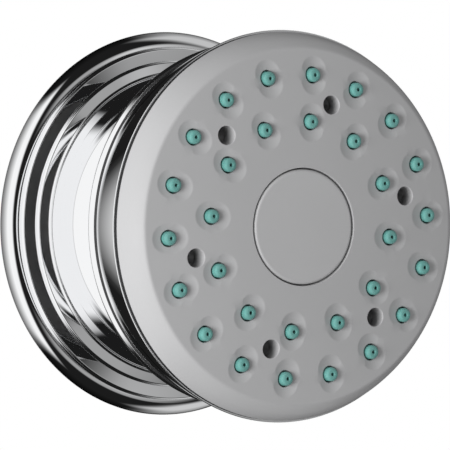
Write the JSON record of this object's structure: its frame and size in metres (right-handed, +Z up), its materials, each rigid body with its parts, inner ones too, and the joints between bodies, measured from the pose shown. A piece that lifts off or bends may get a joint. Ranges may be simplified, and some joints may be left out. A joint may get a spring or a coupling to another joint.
{
  "type": "shower body jet",
  "caption": "Round wall-mounted shower body jet: stepped chrome rosette and neck, ball-jointed head, domed grey spray face with soft teal nozzles.",
  "frame": {"origin": "axis of the inlet thread in the wall's surface", "axes": "+Y into the wall along the inlet thread, -Y out into the room, +Z up"},
  "size_m": [0.1006, 0.0842, 0.1006],
  "materials": {
    "chrome": "polished chrome plate",
    "plated_ball": "satin plate",
    "brass": "turned, bare",
    "steel": "plain",
    "black_rubber": "matt",
    "teal_silicone": "soft satin",
    "grey_face": "satin silver grey",
    "satin_cap": "fine satin, silver grey",
    "white_plastic": "moulded",
    "dark_plastic": "moulded"
  },
  "bodies": {
    "base": {"wall_rosette": "chrome", "rosette_seal": "black_rubber", "neck_sleeve": "chrome", "inlet_body": "brass", "inlet_washer": "black_rubber", "filter_screen": "steel", "flow_limiter": "white_plastic", "limiter_o_ring": "black_rubber", "sleeve_carrier": "white_plastic", "sleeve_o_ring": "black_rubber", "carrier_nut": "brass", "ball_stem": "plated_ball", "stem_o_ring": "black_rubber"},
    "pan_ring": {"ball_bushing": "white_plastic"},
    "tilt_ring": {"ball_seal": "black_rubber"},
    "head": {"swivel_nut": "brass", "chamber_back": "dark_plastic", "head_shell": "chrome", "face_seal": "black_rubber", "nozzle_mat": "teal_silicone", "spray_face": "grey_face", "centre_screw": "steel", "centre_cap": "satin_cap"}
  },
  "joints": [
    {"name": "head_pan", "type": "hinge", "parent": "base", "child": "pan_ring", "pos_m": [0, -0.04, 0], "axis": [0, 0, 1], "range_deg": [-10, 10]},
    {"name": "head_tilt", "type": "hinge", "parent": "pan_ring", "child": "tilt_ring", "pos_m": [0, -0.04, 0], "axis": [1, 0, 0], "range_deg": [-10, 10]},
    {"name": "head_turn", "type": "hinge", "parent": "tilt_ring", "child": "head", "pos_m": [0, -0.04, 0], "axis": [0, 1, 0], "continuous": true}
  ]
}
